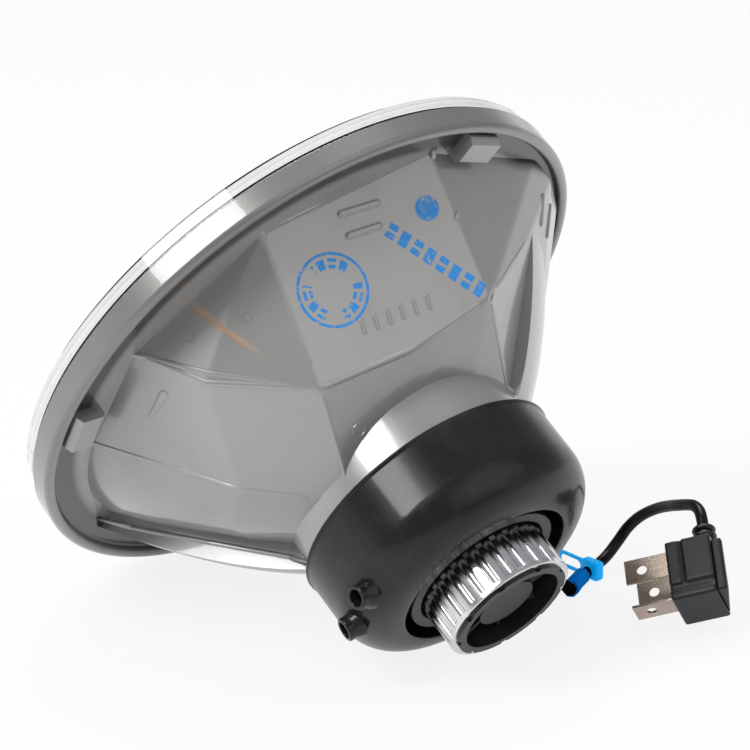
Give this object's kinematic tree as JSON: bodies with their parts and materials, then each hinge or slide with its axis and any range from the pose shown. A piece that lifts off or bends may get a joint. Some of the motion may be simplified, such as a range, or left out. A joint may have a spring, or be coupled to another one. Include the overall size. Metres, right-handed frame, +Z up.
{
  "type": "round motorcycle headlight unit",
  "caption": "Round motorcycle headlight unit with a faceted silver-grey housing, rubber boot, finned bulb base with a small fan, and a short lead with a bladed plug.",
  "frame": {"origin": "on the floor, at the centre of the lamp's bounding box seen from above, without the lead, its sleeve and tag, and the plug", "axes": "+Z up; the lamp lies on its rim and its boot as in the picture, its axis in the YZ plane with the lens towards +Y and up; +X to the right seen from the rear"},
  "size_m": [0.178, 0.1619, 0.1558],
  "materials": {
    "housing_lacquer": "silver-grey lacquer, satin to gloss",
    "lens_glass": "clear and smooth",
    "seal_rubber": "matte",
    "boot_rubber": "charcoal, with a soft sheen",
    "flange_steel": "bare",
    "base_plastic": "matte",
    "stem_copper": "bare copper tone",
    "chip_phosphor": "yellow, smooth",
    "shield_metal": "bright",
    "clip_wire": "bare",
    "screw_steel": "bare",
    "collar_grey": "satin dark grey",
    "sink_aluminium": "polished",
    "board_green": "gloss",
    "fan_black": "satin",
    "motor_brass": "bare",
    "hub_grey": "matte",
    "gland_rubber": "matte",
    "lead_rubber": "black, slight sheen",
    "sleeve_blue": "deep blue, translucent look",
    "tag_blue": "azure blue",
    "plug_plastic": "charcoal, satin",
    "relief_rubber": "matte",
    "blade_metal": "dull bronze-grey plating",
    "blade_light": "pale pinkish plating"
  },
  "bodies": {
    "lamp": {"reflector_housing": "housing_lacquer", "front_lens": "lens_glass", "lens_seal": "seal_rubber", "rubber_boot": "boot_rubber", "bulb_flange": "flange_steel", "bulb_base": "base_plastic", "base_ring": "seal_rubber", "lamp_stem": "stem_copper", "light_chips": "chip_phosphor", "beam_shield": "shield_metal", "retaining_clip": "clip_wire", "clip_screws": "screw_steel", "twist_collar": "collar_grey", "heat_sink": "sink_aluminium", "driver_board": "board_green", "fan_frame": "fan_black", "fan_motor": "motor_brass", "cord_gland": "gland_rubber", "lead": "lead_rubber", "lead_sleeve": "sleeve_blue", "lead_tag": "tag_blue", "plug_body": "plug_plastic", "plug_cover": "plug_plastic", "plug_relief": "relief_rubber", "blade_left": "blade_metal", "blade_right": "blade_metal", "blade_ground": "blade_light"},
    "fan": {"fan_rotor": "hub_grey"}
  },
  "joints": [
    {"name": "fan_spin", "type": "hinge", "parent": "lamp", "child": "fan", "pos_m": [0, -0.06054, 0.02535], "axis": [0, -0.8466, -0.5322], "continuous": true}
  ]
}
